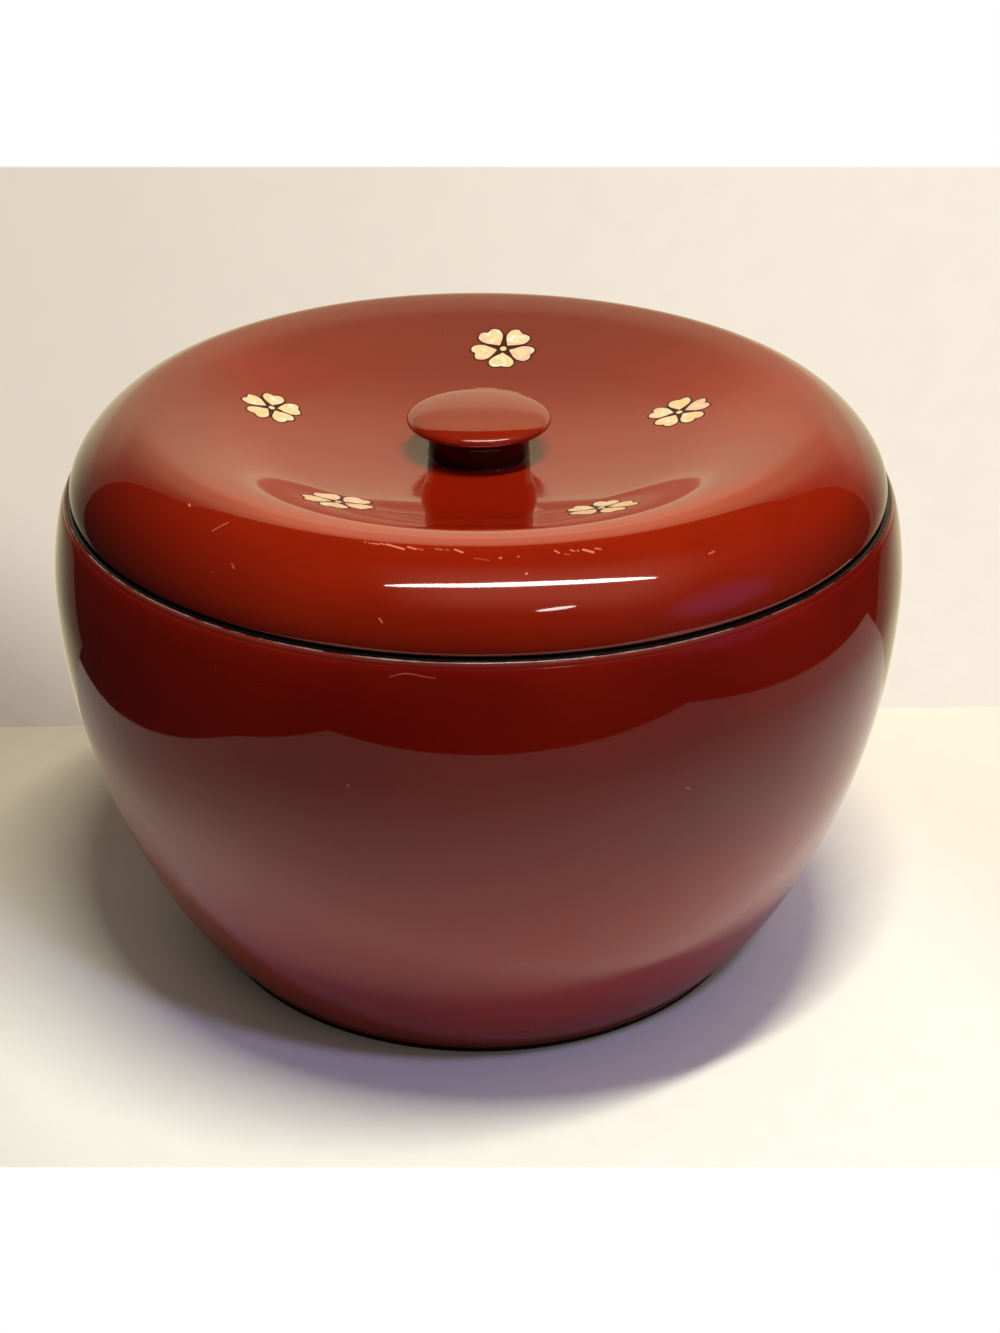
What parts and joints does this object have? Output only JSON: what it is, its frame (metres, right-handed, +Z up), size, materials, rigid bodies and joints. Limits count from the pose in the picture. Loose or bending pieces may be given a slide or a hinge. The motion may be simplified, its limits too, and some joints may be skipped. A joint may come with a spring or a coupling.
{
  "type": "lidded lacquer rice serving bowl",
  "caption": "Round lacquered wooden rice bowl with a swelling belly, a low foot, a dished lift-off lid with a mushroom knob, and cherry blossoms inlaid in shell on the lid.",
  "frame": {"origin": "bottom centre of the foot ring, on the surface that the bowl stands on", "axes": "+Z up along the axis that every turned piece shares, -Y towards the viewer of the picture"},
  "size_m": [0.258, 0.258, 0.1736],
  "materials": {
    "red_lacquer": "deep red lacquer on turned wood, polished to a high gloss",
    "black_lacquer": "black lacquer on turned wood, gloss",
    "shell": "mother-of-pearl slips with a pink and green sheen, polished flush"
  },
  "bodies": {
    "bowl": {"bowl_shell": "red_lacquer", "foot_ring": "black_lacquer", "mouth_ring": "black_lacquer"},
    "lid": {"lid_shell": "red_lacquer", "lid_knob": "red_lacquer", "blossom_1_petal_1": "shell", "blossom_1_petal_2": "shell", "blossom_1_petal_3": "shell", "blossom_1_petal_4": "shell", "blossom_1_petal_5": "shell", "blossom_2_petal_1": "shell", "blossom_2_petal_2": "shell", "blossom_2_petal_3": "shell", "blossom_2_petal_4": "shell", "blossom_2_petal_5": "shell", "blossom_3_petal_1": "shell", "blossom_3_petal_2": "shell", "blossom_3_petal_3": "shell", "blossom_3_petal_4": "shell", "blossom_3_petal_5": "shell", "blossom_4_petal_1": "shell", "blossom_4_petal_2": "shell", "blossom_4_petal_3": "shell", "blossom_4_petal_4": "shell", "blossom_4_petal_5": "shell", "blossom_5_petal_1": "shell", "blossom_5_petal_2": "shell", "blossom_5_petal_3": "shell", "blossom_5_petal_4": "shell", "blossom_5_petal_5": "shell", "blossom_1_centre": "shell", "blossom_2_centre": "shell", "blossom_3_centre": "shell", "blossom_4_centre": "shell", "blossom_5_centre": "shell"}
  },
  "joints": [
    {"name": "lid_lift", "type": "slide", "parent": "bowl", "child": "lid", "axis": [0, 0, 1], "range_m": [0, 0.2]}
  ]
}
